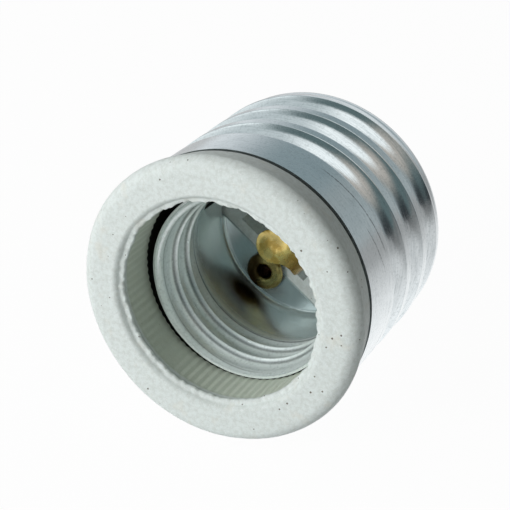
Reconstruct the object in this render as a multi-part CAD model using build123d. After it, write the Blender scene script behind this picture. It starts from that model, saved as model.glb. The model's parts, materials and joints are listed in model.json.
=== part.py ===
"""Porcelain lamp socket adapter: a large male screw shell behind, a medium lamp socket in front.

Millimetres. Every piece is modelled with z running from the collar's front face back towards the rear
contact, and is then turned so that the mouth faces -Y, the screw axis is Y and +Z is up.
"""

import math
import os

from build123d import *

# Sheet metal
outer_sheet = 0.4
inner_sheet = 0.4

# Large male screw
outer_thread_diameter = 39.0
outer_thread_pitch = 6.35
outer_crest_flat = 1.4  # the rolled crests are flat over this width
outer_crest_arc = 0.5  # radius of the crests' shoulders on the outside of the sheet
outer_root_arc = 2.25
outer_thread_phase = 306.0  # degrees round the axis at which a crest passes outer_crest_depth
outer_crest_depth = 13.3
outer_run_in = 5.8  # plain band between the shell's front edge and the first trace of thread
outer_run_in_length = 3.0
outer_run_out_length = 2.0
outer_shoulder_round = 3.0
outer_shoulder_inset = 0.3  # the rolled rear end is drawn in by this much

# Medium female socket
screw_step = 12.5  # the large screw is this much wider than the small one
inner_thread_pitch = 3.629
inner_thread_arc = 1.025
inner_thread_phase = 138.7
inner_crest_depth = 10.34
inner_threaded_length = 11.0  # from the rim to the last trace of thread
inner_run_in_length = 1.6
inner_run_out_length = 1.8
inner_shell_length = 20.2  # from the rim to the upper side of its floor
inner_rim_depth = 7.7
inner_rim_flare = 0.35
inner_rim_length = 1.2
inner_floor_round = 1.0
inner_shell_play = 0.15  # left between the rim and the bore where the shell leans over
inner_shell_lean = 0.55  # how far the shell sits off the porcelain's axis
inner_shell_lean_angle = 42.0
floor_edge_margin = 0.1  # sheet left between an eyelet and the gap between the two floor segments
floor_slot_margin = 0.9  # ring of floor left beside the wall
wall_window_start = 13.1  # window in the wall, from the rim
wall_window_length = 3.6
wall_window_angle = 208.0
wall_window_span = 22.0

# Porcelain
collar_length = 6.4
collar_overhang = 1.0  # collar radius beyond the large screw
collar_back_taper = 1.0
collar_round = 2.0
mouth_edge_width = 1.0  # the mouth is rounded over from the front face by this much
mouth_edge_depth = 2.0
mouth_relief = 0.9  # the bore behind the mouth is this much wider
mouth_length = 7.4
core_play = 0.15
core_round = 2.0
floor_thickness = 7.3
recess_ledge = 1.55  # porcelain floor seen beside the recess
recess_depth = 2.5
recess_reach = 7.5  # from the axis to the end beyond the leaf's tip
nose_length = 6.8
nose_margin = 0.25  # outer flange left between an eyelet and the nose hole
nose_taper = 0.3
shell_gap = 0.8  # between collar and outer shell
nose_play = 0.4

# Brass contact strip
contact_angle = 218.7  # direction of the leaf's tip round the axis
strip_thickness = 0.45
strip_width = 6.4  # at the foot and up the leg
neck_width = 2.8  # the leaf narrows to this behind its round tip
neck_drop = 0.9  # from the flat end's middle to where the widening starts
neck_taper_length = 2.6
foot_reach = 4.6
root_bend = 1.125
upper_bend = 4.3
leaf_rise_angle = 85.0
leaf_height = 11.3  # from the recess floor to the leaf's flat end, mid sheet
leaf_corner_offset = 3.74  # from the axis to where the leg's and the flat end's middle lines cross
leaf_tip_radius = 2.62
leaf_tip_offset = 0.8  # from the axis to the middle of the round tip
root_split_angle = 40.0
root_split_gap = 5.0
root_clearance = 0.68
dome_radius = 2.0
dome_height = 0.25

# Eyelets and rivet
eyelet_head_play = 0.9  # from an eyelet head to the inner wall
eyelet_turn = -2.6  # the eyelets sit slightly off the line across the leaf
eyelet_radius = 1.35
eyelet_wall = 0.25
eyelet_head_radius = 2.9
eyelet_head_height = 1.2
eyelet_head_round = 0.55
eyelet_clinch_radius = 2.5
eyelet_clinch_height = 0.6
eyelet_sheet_play = 0.05
eyelet_body_play = 0.2
rivet_radius = 1.5
rivet_play = 0.15
rivet_head_radius = 2.6
rivet_head_height = 0.9
rivet_tip_radius = 3.6
rivet_tip_height = 1.6
rivet_round = 0.5
contact_disc_thickness = 0.8
contact_disc_round = 0.3

ring_points = 24
rings_per_pitch = 6
round_steps = 3

# Depths worked out from the front face
inner_floor_top = inner_rim_depth + inner_shell_length
floor_depth = inner_floor_top + inner_sheet
recess_floor = floor_depth + recess_depth
rear_face = floor_depth + floor_thickness
nose_end = rear_face + nose_length
outer_front = collar_length + shell_gap
outer_end = rear_face + outer_sheet
shoulder_start = outer_end - outer_shoulder_round

# Radii worked out from the two screws
outer_crest = outer_thread_diameter / 2
inner_root = (outer_thread_diameter - screw_step) / 2
inner_rim = inner_root + inner_rim_flare + inner_sheet
mouth_radius = inner_rim + inner_shell_lean + inner_shell_play
bore_radius = mouth_radius + mouth_relief
collar_radius = outer_crest + collar_overhang
eyelet_circle_radius = inner_root - eyelet_head_radius - eyelet_head_play
floor_slot_width = 2 * (eyelet_circle_radius - eyelet_radius - floor_edge_margin)
recess_width = floor_slot_width - 2 * recess_ledge
nose_hole = eyelet_circle_radius - eyelet_clinch_radius - nose_margin
nose_radius = nose_hole - nose_play
contact_disc_radius = nose_radius - nose_taper


def thread_depth(along, pitch, flat, crest_arc, root_arc):
    """How far a rolled thread of alternating arcs lies below its crest, at a distance along the axis."""
    slope = (pitch - flat) / 2 / (crest_arc + root_arc)
    total = (crest_arc + root_arc) * (1 - math.sqrt(1 - slope * slope))
    offset = abs((along + pitch / 2) % pitch - pitch / 2)
    beyond_flat = max(offset - flat / 2, 0)
    if beyond_flat <= crest_arc * slope:
        return crest_arc - math.sqrt(crest_arc**2 - beyond_flat**2)
    from_root = pitch / 2 - offset
    return total - root_arc + math.sqrt(root_arc**2 - from_root**2)


def ramp(value, start, end):
    """Smooth step from 0 at start to 1 at end."""
    share = min(max((value - start) / (end - start), 0), 1)
    return share * share * (3 - 2 * share)


outer_thread_height = thread_depth(
    outer_thread_pitch / 2, outer_thread_pitch, outer_crest_flat, outer_crest_arc, outer_root_arc
)
inner_thread_height = thread_depth(
    inner_thread_pitch / 2, inner_thread_pitch, 0, inner_thread_arc, inner_thread_arc
)
core_radius = outer_crest - outer_thread_height - outer_sheet - core_play


def helix_phase(depth, angle, pitch, crest_depth, crest_angle):
    """Distance along the axis from the nearest right-hand helix turn of the crest."""
    return depth - crest_depth - pitch * (angle - crest_angle) / 360


def closed_ring(radius_at, depth):
    """A closed curve round the axis whose radius follows radius_at(depth, angle)."""
    points = []
    for step in range(ring_points):
        angle = 360 * step / ring_points
        radius = radius_at(depth, angle)
        points.append(Vector(radius, 0, depth).rotate(Axis.Z, angle))
    return Wire([Edge.make_spline(points, periodic=True)])


def levels(start, end, spacing):
    """Evenly spaced depths from start to end, no further apart than spacing."""
    count = max(1, math.ceil((end - start) / spacing))
    return [start + (end - start) * step / count for step in range(count + 1)]


def round_levels(start, end):
    """Depths across a rounded corner, closer together where the round turns towards its end face."""
    turn = math.pi / 2 / round_steps
    return [start + (end - start) * math.sin(turn * step) for step in range(round_steps + 1)]


def rolled_sheet(outside, inside):
    """A solid between two skins, each a list of rings from the front edge to the floor hole."""
    skins = []
    for rings in (outside, inside):
        skins += [face for face in Solid.make_loft(rings, ruled=True).faces() if len(face.edges()) > 1]
    front = Face(outside[0], [inside[0]])
    hole = Solid.make_loft([outside[-1], inside[-1]], ruled=True)
    wall = [face for face in hole.faces() if len(face.edges()) > 1]
    return Solid(Shell([*skins, front, *wall]))


def place(piece, label):
    """Turn a piece from the modelling frame into the part's frame and write its file."""
    turned = Rot(X=-90) * piece
    turned.label = label
    export_step(turned, os.path.join("parts", label + ".step"))


def revolved(*points):
    """A solid turned about z from a closed outline of (radius, depth) points."""
    return revolve(Plane.XZ * make_face(Polyline(*points, close=True)), Axis.Z)


def circles_at(piece, depth):
    """The circular edges of a turned piece that lie at one depth."""
    return piece.edges().filter_by(GeomType.CIRCLE).filter_by(lambda e: abs(e.arc_center.Z - depth) < 1e-6)


# Large screw shell: plain front band, rolled thread, rounded shoulder and a flat rear flange
def outer_radius(skin):
    """Radius of one skin of the outer shell's side, skin being its depth in the sheet."""
    thread_start = outer_front + outer_run_in
    thread_full = thread_start + outer_run_in_length
    fade_end = shoulder_start
    fade_start = fade_end - outer_run_out_length

    def radius_at(depth, angle):
        phase = helix_phase(depth, angle, outer_thread_pitch, outer_crest_depth, outer_thread_phase)
        dip = thread_depth(
            phase, outer_thread_pitch, outer_crest_flat, outer_crest_arc - skin, outer_root_arc + skin
        )
        share = ramp(depth, thread_start, thread_full) * (1 - ramp(depth, fade_start, fade_end))
        shoulder = outer_shoulder_round - skin
        inward = shoulder - math.sqrt(max(shoulder**2 - max(depth - shoulder_start, 0) ** 2, 0))
        inward += outer_shoulder_inset * ramp(depth, fade_start, fade_end)
        return outer_crest - skin - share * dip - inward

    return radius_at


def outer_rings(skin):
    """Rings of one skin of the outer shell, from its front edge over the shoulder to the flange hole."""
    radius_at = outer_radius(skin)
    flange = outer_end - skin
    thread_start = outer_front + outer_run_in
    depths = [outer_front]
    depths += levels(thread_start, shoulder_start, outer_thread_pitch / rings_per_pitch)
    depths += round_levels(shoulder_start, flange)[1:]
    rings = [closed_ring(radius_at, depth) for depth in depths]
    return rings + [closed_ring(lambda depth, angle: nose_hole, flange)]


outer_screw_shell = rolled_sheet(outer_rings(0), outer_rings(outer_sheet))


# Medium screw shell: flared rim, rolled thread, plain wall, rounded floor corner and floor ring
def inner_radius(skin):
    """Radius of one skin of the inner shell's wall, skin being its distance outside the lamp's side."""
    thread_end = inner_rim_depth + inner_threaded_length
    thread_full = inner_rim_depth + inner_run_in_length
    fade_start = thread_end - inner_run_out_length
    corner_start = inner_floor_top - inner_floor_round

    def radius_at(depth, angle):
        phase = helix_phase(depth, angle, inner_thread_pitch, inner_crest_depth, inner_thread_phase)
        dip = thread_depth(phase, inner_thread_pitch, 0, inner_thread_arc + skin, inner_thread_arc - skin)
        share = ramp(depth, inner_rim_depth, thread_full) * (1 - ramp(depth, fade_start, thread_end))
        flare = inner_rim_flare * (1 - ramp(depth, inner_rim_depth, inner_rim_depth + inner_rim_length))
        corner = inner_floor_round + skin
        inward = corner - math.sqrt(max(corner**2 - max(depth - corner_start, 0) ** 2, 0))
        return inner_root + skin + flare - share * (inner_thread_height - dip) - inward

    return radius_at


def inner_rings(skin):
    """Rings of one skin of the inner shell, from its rim down the wall and in across the floor."""
    radius_at = inner_radius(skin)
    floor = inner_floor_top + skin
    thread_end = inner_rim_depth + inner_threaded_length
    corner_start = inner_floor_top - inner_floor_round
    depths = levels(inner_rim_depth, thread_end, inner_thread_pitch / rings_per_pitch)
    depths += round_levels(corner_start, floor)
    rings = [closed_ring(radius_at, depth) for depth in depths]
    return rings + [closed_ring(lambda depth, angle: floor_slot_width / 2 - floor_slot_margin, floor)]


across_leaf = Rot(Z=contact_angle)
eyelet_places = [
    Rot(Z=contact_angle + eyelet_turn + side) * Pos(eyelet_circle_radius, 0, 0) for side in (-90, 90)
]
lean = Rot(Z=inner_shell_lean_angle) * Pos(inner_shell_lean, 0, 0)
lean_offset = Pos(*lean.position)

inner_screw_shell = lean_offset * rolled_sheet(inner_rings(inner_sheet), inner_rings(0))
floor_slot = Pos(0, 0, floor_depth) * (
    Box(4 * inner_root, floor_slot_width, 4 * inner_sheet)
    & Cylinder(inner_root - floor_slot_margin, 4 * inner_sheet)
)
inner_screw_shell -= lean_offset * across_leaf * floor_slot
window_middle = inner_rim_depth + wall_window_start + wall_window_length / 2
window = Pos(inner_root, 0, window_middle) * Box(
    inner_root / 2, 2 * inner_root * math.sin(math.radians(wall_window_span / 2)), wall_window_length
)
inner_screw_shell -= lean_offset * Rot(Z=wall_window_angle) * window
for eyelet_place in eyelet_places:
    hole = Pos(0, 0, floor_depth) * Cylinder(eyelet_radius + eyelet_sheet_play, 4 * inner_sheet)
    inner_screw_shell -= eyelet_place * hole
    outer_screw_shell -= eyelet_place * Pos(0, 0, outer_end) * Cylinder(
        eyelet_radius + eyelet_sheet_play, 4 * outer_sheet
    )

# Porcelain: collar with rounded front edges, core, floor and nose, turned as one
collar_back = collar_radius - collar_back_taper
outside = revolved(
    (0, 0),
    (collar_radius, 0),
    (collar_radius, collar_round),
    (collar_back, collar_length),
    (core_radius, collar_length),
    (core_radius, rear_face),
    (nose_radius, rear_face),
    (nose_radius - nose_taper, nose_end),
    (0, nose_end),
)
outside = fillet(circles_at(outside, 0), collar_round * 0.98)
outside = fillet(circles_at(outside, rear_face).filter_by(lambda e: e.radius > nose_hole), core_round)
edge_radius = mouth_radius + mouth_edge_width
edge_middle = (edge_radius, mouth_edge_depth)
mouth_edge = EllipticalCenterArc(
    edge_middle, mouth_edge_width, mouth_edge_depth, start_angle=180, arc_size=90
)
mouth_sides = Polyline(
    (edge_radius, 0),
    (0, 0),
    (0, mouth_length),
    (mouth_radius, mouth_length),
    (mouth_radius, mouth_edge_depth),
)
mouth = revolve(Plane.XZ * make_face(mouth_edge + mouth_sides), Axis.Z)
bore = Pos(0, 0, (mouth_length + floor_depth) / 2) * Cylinder(bore_radius, floor_depth - mouth_length)
porcelain_body = outside - mouth - bore

# Contact strip: foot on the recess floor, bent up at its root, leaf bent over to a domed round end
strip_plane = across_leaf * Plane.XZ
half_sheet = strip_thickness / 2
foot_middle = recess_floor - half_sheet
leaf_middle = recess_floor - leaf_height
rise = math.radians(leaf_rise_angle)
root_corner = -leaf_corner_offset - (foot_middle - leaf_middle) / math.tan(rise)
root_x = root_corner + root_bend / math.tan(rise / 2)
root_z = foot_middle - root_bend
upper_x = -leaf_corner_offset + upper_bend * math.tan(rise / 2)
upper_z = leaf_middle + upper_bend


def around(centre_x, centre_z, radius, angle):
    """Point on a bend, angle measured from the foot's tangent round the outside of the bend."""
    turn = math.radians(90 + angle)
    return (centre_x + radius * math.cos(turn), centre_z + radius * math.sin(turn))


def bend(centre_x, centre_z, radius, start, end):
    """Arc of the strip's middle line between two angles of a bend."""
    at = [around(centre_x, centre_z, radius, angle) for angle in (start, (start + end) / 2, end)]
    return ThreePointArc(*[(x, 0, z) for x, z in at])


def strip_along(path):
    """Sheet strip swept along its middle line, which lies in the XZ plane."""
    start = path @ 0
    section = Plane(origin=start, x_dir=(0, 1, 0), z_dir=path % 0) * Rectangle(strip_width, strip_thickness)
    return sweep(section, path=path)


root_turn = 180 - leaf_rise_angle
foot_line = Line((foot_reach, 0, foot_middle), (root_x, 0, foot_middle))
foot_path = Wire([foot_line, bend(root_x, root_z, root_bend, 0, root_split_angle)])
leg_start = around(root_x, root_z, root_bend, root_turn)
leg_end = around(upper_x, upper_z, upper_bend, root_turn)
leaf_path = Wire(
    [
        bend(root_x, root_z, root_bend, root_split_angle + root_split_gap, root_turn),
        Line((leg_start[0], 0, leg_start[1]), (leg_end[0], 0, leg_end[1])),
        bend(upper_x, upper_z, upper_bend, root_turn, 180),
        Line((upper_x, 0, leaf_middle), (leaf_tip_offset, 0, leaf_middle)),
    ]
)
contact_foot = strip_along(foot_path)
contact_foot -= Pos(0, 0, foot_middle) * Cylinder(rivet_radius + rivet_play, 4 * strip_thickness)
taper_start = leaf_middle + neck_drop
taper_end = taper_start + neck_taper_length
side_line = [
    (neck_width / 2, leaf_middle - strip_thickness),
    (neck_width / 2, taper_start),
    (strip_width / 2, taper_end),
    (strip_width / 2, recess_floor),
]
other_side = [(-across, depth) for across, depth in reversed(side_line)]
leaf_outline = Plane.YZ * make_face(Polyline(side_line + other_side, close=True))
contact_leaf = strip_along(leaf_path) & extrude(leaf_outline, 2 * strip_width, both=True)
tip = Pos(leaf_tip_offset, 0, 0)
contact_leaf += tip * Pos(0, 0, leaf_middle) * Cylinder(leaf_tip_radius, strip_thickness)
dome_sphere = (dome_radius**2 + dome_height**2) / (2 * dome_height)
dome_top = leaf_middle - half_sheet
dome_centre = tip * Pos(0, 0, dome_top - dome_height + dome_sphere)
cap_room = tip * Pos(0, 0, dome_top - dome_height / 2) * Cylinder(dome_radius, dome_height)
contact_leaf += dome_centre * Sphere(dome_sphere) & cap_room
hollow_room = Pos(0, 0, strip_thickness) * cap_room
contact_leaf -= dome_centre * Sphere(dome_sphere - strip_thickness) & hollow_room

# Recess, centre hole and eyelet holes through the porcelain
recess_start = root_x - root_bend - half_sheet - root_clearance
recess_length = recess_reach - recess_start
recess = Pos((recess_start + recess_reach) / 2, 0, floor_depth + recess_depth / 2) * Box(
    recess_length, recess_width, recess_depth
)
porcelain_body -= across_leaf * recess
porcelain_body -= Pos(0, 0, (recess_floor + nose_end) / 2) * Cylinder(
    rivet_radius + rivet_play, nose_end - recess_floor
)
for eyelet_place in eyelet_places:
    porcelain_body -= eyelet_place * Pos(0, 0, (floor_depth + rear_face) / 2) * Cylinder(
        eyelet_radius + eyelet_body_play, rear_face - floor_depth
    )

# Hollow eyelets: a rolled head on the inner shell's floor, a tube, a clinched ring on the outer flange
eyelet_bore = eyelet_radius - eyelet_wall
head_top = inner_floor_top - eyelet_head_height
clinch_end = outer_end + eyelet_clinch_height
eyelet = revolved(
    (eyelet_bore, head_top),
    (eyelet_head_radius, head_top),
    (eyelet_head_radius, inner_floor_top),
    (eyelet_radius, inner_floor_top),
    (eyelet_radius, outer_end),
    (eyelet_clinch_radius, outer_end),
    (eyelet_clinch_radius, clinch_end),
    (eyelet_bore, clinch_end),
)
eyelet = fillet(circles_at(eyelet, head_top), eyelet_head_round)
head_rim = circles_at(eyelet, inner_floor_top).filter_by(lambda e: e.radius > eyelet_clinch_radius)
eyelet = fillet(head_rim, eyelet_head_round)
shell_eyelet_near, shell_eyelet_far = [eyelet_place * eyelet for eyelet_place in eyelet_places]

# Rear contact disc on the nose and the centre rivet that holds it and the foot
disc_end = nose_end + contact_disc_thickness
rear_contact = revolved(
    (rivet_radius + rivet_play, nose_end),
    (contact_disc_radius, nose_end),
    (contact_disc_radius, disc_end),
    (rivet_radius + rivet_play, disc_end),
)
disc_rim = circles_at(rear_contact, disc_end).filter_by(lambda e: e.radius > rivet_tip_radius)
rear_contact = fillet(disc_rim, contact_disc_round)
foot_top = recess_floor - strip_thickness
rivet_front = foot_top - rivet_head_height
rivet_end = disc_end + rivet_tip_height
centre_rivet = revolved(
    (0, rivet_front),
    (rivet_head_radius, rivet_front),
    (rivet_head_radius, foot_top),
    (rivet_radius, foot_top),
    (rivet_radius, disc_end),
    (rivet_tip_radius, disc_end),
    (rivet_tip_radius, rivet_end),
    (0, rivet_end),
)
head_rims = circles_at(centre_rivet, rivet_front) + circles_at(centre_rivet, rivet_end)
centre_rivet = fillet(head_rims, rivet_round)

os.makedirs("parts", exist_ok=True)
pieces = {
    "porcelain_body": porcelain_body,
    "outer_screw_shell": outer_screw_shell,
    "inner_screw_shell": inner_screw_shell,
    "shell_eyelet_near": shell_eyelet_near,
    "shell_eyelet_far": shell_eyelet_far,
    "contact_leaf": across_leaf * contact_leaf,
    "contact_foot": across_leaf * contact_foot,
    "centre_rivet": centre_rivet,
    "rear_contact": rear_contact,
}
for name, piece in pieces.items():
    place(piece, name)

hinge = Rot(X=-90) * across_leaf * Pos(root_x, 0, root_z)
hinge_axis = (Rot(X=-90) * across_leaf * Pos(0, -1, 0)).position
print("leaf hinge at", hinge.position, "along", hinge_axis)
print("depths: inner floor", inner_floor_top, "recess floor", recess_floor)
print("depths: rear face", rear_face, "nose", nose_end, "end", rivet_end)
print("radii: mouth", mouth_radius, "core", core_radius, "collar", collar_radius)
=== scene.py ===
import json
import math

import bmesh
import bpy
import numpy as np
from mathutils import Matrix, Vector, noise

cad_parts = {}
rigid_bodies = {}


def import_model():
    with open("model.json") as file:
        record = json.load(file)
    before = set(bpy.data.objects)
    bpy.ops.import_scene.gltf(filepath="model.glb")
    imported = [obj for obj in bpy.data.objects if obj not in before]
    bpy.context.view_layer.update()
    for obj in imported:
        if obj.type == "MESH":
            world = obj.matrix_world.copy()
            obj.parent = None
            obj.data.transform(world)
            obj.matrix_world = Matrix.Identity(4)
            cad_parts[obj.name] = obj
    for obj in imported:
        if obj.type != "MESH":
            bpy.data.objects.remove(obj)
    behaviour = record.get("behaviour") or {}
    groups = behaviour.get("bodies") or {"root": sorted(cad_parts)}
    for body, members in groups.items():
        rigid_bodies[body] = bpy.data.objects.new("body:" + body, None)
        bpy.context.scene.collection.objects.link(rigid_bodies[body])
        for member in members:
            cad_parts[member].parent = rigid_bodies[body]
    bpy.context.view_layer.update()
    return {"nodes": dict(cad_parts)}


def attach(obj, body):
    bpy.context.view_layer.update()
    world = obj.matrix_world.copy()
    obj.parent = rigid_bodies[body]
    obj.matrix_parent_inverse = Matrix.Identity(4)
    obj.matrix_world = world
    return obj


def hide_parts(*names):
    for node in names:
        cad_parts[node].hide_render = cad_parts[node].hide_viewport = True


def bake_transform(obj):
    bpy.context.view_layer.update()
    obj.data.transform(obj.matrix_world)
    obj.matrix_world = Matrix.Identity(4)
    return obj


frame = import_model()
print("frame loaded with", len(frame["nodes"]), "nodes")

scene = bpy.context.scene
scene.view_settings.view_transform = "Standard"
mm = 0.001

# camera where the photographer stood, fitted to the collar and mouth ellipses
cameraSetup = {
    "place": (84.9, -164.2, 92.4),  # mm
    "looks": (-0.394, 0.819, -0.418),
    "focalPixels": 1566.0,
    "framePixels": 510.0,
    "sensor": 36.0,
    "clip": (0.01, 20.0),  # metres
}
cameraData = bpy.data.cameras.new("camera")
cameraData.sensor_width = cameraSetup["sensor"]
cameraData.lens = cameraSetup["focalPixels"] / cameraSetup["framePixels"] * cameraSetup["sensor"]
cameraData.clip_start, cameraData.clip_end = cameraSetup["clip"]
camera = bpy.data.objects.new("camera", cameraData)
scene.collection.objects.link(camera)
camera.location = Vector(cameraSetup["place"]) * mm
camera.rotation_euler = Vector(cameraSetup["looks"]).to_track_quat("-Z", "Y").to_euler()
scene.camera = camera
print("camera set")


# shader helpers
def addNode(tree, kind, **settings):
    node = tree.nodes.new(kind)
    for label, value in settings.items():
        setattr(node, label, value)
    return node


def feed(tree, socket, value):
    if hasattr(value, "is_linked"):
        tree.links.new(value, socket)
    else:
        socket.default_value = value


def newGroup(name, inputs, outputs):
    group = bpy.data.node_groups.new(name, "ShaderNodeTree")
    for label, value in inputs.items():
        socket = group.interface.new_socket(label, in_out="INPUT", socket_type="NodeSocketFloat")
        socket.default_value = value
    for label in outputs:
        group.interface.new_socket(label, in_out="OUTPUT", socket_type="NodeSocketFloat")
    return group, group.nodes.new("NodeGroupInput"), group.nodes.new("NodeGroupOutput")


def millimetreCoords(tree):
    coords = addNode(tree, "ShaderNodeTexCoord")
    scaled = addNode(tree, "ShaderNodeVectorMath", operation="SCALE")
    scaled.inputs["Scale"].default_value = 1 / mm
    tree.links.new(coords.outputs["Object"], scaled.inputs[0])
    return scaled.outputs[0]


def splitVector(tree, vector):
    split = addNode(tree, "ShaderNodeSeparateXYZ")
    tree.links.new(vector, split.inputs[0])
    return split.outputs


def rangeNode(tree, value, low, high, outLow=0.0, outHigh=1.0):
    node = addNode(tree, "ShaderNodeMapRange", interpolation_type="SMOOTHSTEP")
    feed(tree, node.inputs["Value"], value)
    for label, amount in (("From Min", low), ("From Max", high), ("To Min", outLow), ("To Max", outHigh)):
        feed(tree, node.inputs[label], amount)
    return node.outputs["Result"]


def mathNode(tree, operation, first, second=0.0):
    node = addNode(tree, "ShaderNodeMath", operation=operation)
    feed(tree, node.inputs[0], first)
    feed(tree, node.inputs[1], second)
    return node.outputs[0]


def mixColour(tree, share, first, second):
    node = addNode(tree, "ShaderNodeMix", data_type="RGBA")
    for socket, value in ((node.inputs[0], share), (node.inputs[6], first), (node.inputs[7], second)):
        feed(tree, socket, value)
    return node.outputs[2]


def fadeColour(tree, value, fade, first, second):
    return mixColour(tree, rangeNode(tree, value, *fade), first, second)


def bandMask(tree, *bands):  # each band is a value and the range over which it fades in
    mask = None
    for value, fade in bands:
        step = rangeNode(tree, value, *fade)
        mask = step if mask is None else mathNode(tree, "MULTIPLY", mask, step)
    return mask


def axisDistance(tree, right, up):
    squares = mathNode(tree, "ADD", mathNode(tree, "POWER", right, 2.0), mathNode(tree, "POWER", up, 2.0))
    return mathNode(tree, "SQRT", squares)


# grain: cloudy noise, Scale in features per millimetre
grainGroup, groupIn, groupOut = newGroup("grain", {"Scale": 1.0, "Detail": 3.0}, ["Value"])
grainNoise = addNode(grainGroup, "ShaderNodeTexNoise")
grainGroup.links.new(millimetreCoords(grainGroup), grainNoise.inputs["Vector"])
grainGroup.links.new(groupIn.outputs["Scale"], grainNoise.inputs["Scale"])
grainGroup.links.new(groupIn.outputs["Detail"], grainNoise.inputs["Detail"])
grainGroup.links.new(grainNoise.outputs["Fac"], groupOut.inputs["Value"])

# specks: a few small round spots, Share is how many of the cells hold one
speckGroup, groupIn, groupOut = newGroup("specks", {"Scale": 0.4, "Size": 0.1, "Share": 0.2}, ["Mask"])
speckCells = addNode(speckGroup, "ShaderNodeTexVoronoi")
speckGroup.links.new(millimetreCoords(speckGroup), speckCells.inputs["Vector"])
speckGroup.links.new(groupIn.outputs["Scale"], speckCells.inputs["Scale"])
speckSplit = addNode(speckGroup, "ShaderNodeSeparateColor")
speckGroup.links.new(speckCells.outputs["Color"], speckSplit.inputs[0])
speckSize = mathNode(speckGroup, "MULTIPLY", groupIn.outputs["Size"], speckSplit.outputs[1])
speckNear = mathNode(speckGroup, "LESS_THAN", speckCells.outputs["Distance"], speckSize)
speckKept = mathNode(speckGroup, "LESS_THAN", speckSplit.outputs[0], groupIn.outputs["Share"])
speckGroup.links.new(mathNode(speckGroup, "MULTIPLY", speckNear, speckKept), groupOut.inputs["Mask"])

# rolled: streaks that run round the screw axis, as a rolling die leaves them
rolledGroup, groupIn, groupOut = newGroup("rolled", {"Around": 2.0, "Along": 6.0, "Detail": 4.0}, ["Value"])
right, depth, up = splitVector(rolledGroup, millimetreCoords(rolledGroup))
rolledAngle = mathNode(rolledGroup, "ARCTAN2", up, right)
rolledJoin = addNode(rolledGroup, "ShaderNodeCombineXYZ")
for axisName, part in (("X", "COSINE"), ("Y", "SINE")):
    turnPart = mathNode(rolledGroup, part, rolledAngle)
    turnPart = mathNode(rolledGroup, "MULTIPLY", turnPart, groupIn.outputs["Around"])
    rolledGroup.links.new(turnPart, rolledJoin.inputs[axisName])
rolledAlong = mathNode(rolledGroup, "MULTIPLY", depth, groupIn.outputs["Along"])
rolledGroup.links.new(rolledAlong, rolledJoin.inputs["Z"])
rolledNoise = addNode(rolledGroup, "ShaderNodeTexNoise")
rolledNoise.inputs["Scale"].default_value = 1.0
rolledGroup.links.new(rolledJoin.outputs[0], rolledNoise.inputs["Vector"])
rolledGroup.links.new(groupIn.outputs["Detail"], rolledNoise.inputs["Detail"])
rolledGroup.links.new(rolledNoise.outputs["Fac"], groupOut.inputs["Value"])

# groove shade: a thin line of painted shade, where the thread's groove starts, that climbs round the screw
# axis, turns in radians and depths in millimetres
grooveShadeCore = 0.03  # mm of full darkness either side of the line
grooveShadeFade = (0.0, 0.1)  # radians over which its ends fade
grooveShadeGroup, groupIn, groupOut = newGroup(
    "grooveShade", {"Depth": 12.0, "Turn": -1.0, "Climb": 2.0, "Reach": 0.7, "Width": 0.12}, ["Mask"]
)
right, depth, up = splitVector(grooveShadeGroup, millimetreCoords(grooveShadeGroup))
grooveShadeTurn = mathNode(grooveShadeGroup, "MULTIPLY", mathNode(grooveShadeGroup, "ARCTAN2", up, right), -1.0)
grooveShadeTurn = mathNode(grooveShadeGroup, "SUBTRACT", grooveShadeTurn, groupIn.outputs["Turn"])
grooveShadeClimb = mathNode(grooveShadeGroup, "MULTIPLY", grooveShadeTurn, groupIn.outputs["Climb"])
grooveShadeLine = mathNode(grooveShadeGroup, "ADD", grooveShadeClimb, groupIn.outputs["Depth"])
grooveShadeAway = mathNode(grooveShadeGroup, "ABSOLUTE", mathNode(grooveShadeGroup, "SUBTRACT", depth, grooveShadeLine))
grooveShadeLeft = mathNode(grooveShadeGroup, "SUBTRACT", groupIn.outputs["Reach"], grooveShadeTurn)
grooveShadeMask = bandMask(
    grooveShadeGroup,
    (grooveShadeAway, (groupIn.outputs["Width"], grooveShadeCore)),
    (grooveShadeTurn, grooveShadeFade),
    (grooveShadeLeft, grooveShadeFade),
)
grooveShadeGroup.links.new(grooveShadeMask, groupOut.inputs["Mask"])

# crease: a dark line of painted shade that follows a screw thread, Depth is where the line stands at turn 0
creaseCore = 0.02  # mm of full darkness either side of the line
creaseGroup, groupIn, groupOut = newGroup(
    "crease",
    {"Depth": 9.0, "Pitch": 3.6, "Width": 0.2, "Right": 0.0, "Up": 0.0, "Start": 8.0, "End": 18.0},
    ["Mask"],
)
right, depth, up = splitVector(creaseGroup, millimetreCoords(creaseGroup))
creaseRight = mathNode(creaseGroup, "SUBTRACT", right, groupIn.outputs["Right"])
creaseDown = mathNode(creaseGroup, "SUBTRACT", groupIn.outputs["Up"], up)
creaseTurn = mathNode(creaseGroup, "ARCTAN2", creaseDown, creaseRight)
creaseTurn = mathNode(creaseGroup, "DIVIDE", creaseTurn, 2 * math.pi)
creaseAlong = mathNode(creaseGroup, "SUBTRACT", depth, groupIn.outputs["Depth"])
creaseAlong = mathNode(creaseGroup, "DIVIDE", creaseAlong, groupIn.outputs["Pitch"])
creaseAlong = mathNode(creaseGroup, "SUBTRACT", creaseAlong, creaseTurn)
creaseAway = mathNode(creaseGroup, "PINGPONG", creaseAlong, 0.5)  # pitches to the nearest line
creaseAway = mathNode(creaseGroup, "MULTIPLY", creaseAway, groupIn.outputs["Pitch"])
creaseMask = rangeNode(creaseGroup, creaseAway, groupIn.outputs["Width"], creaseCore)
creaseStart = mathNode(creaseGroup, "GREATER_THAN", depth, groupIn.outputs["Start"])
creaseEnd = mathNode(creaseGroup, "LESS_THAN", depth, groupIn.outputs["End"])
creaseMask = mathNode(creaseGroup, "MULTIPLY", creaseMask, creaseStart)
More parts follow.
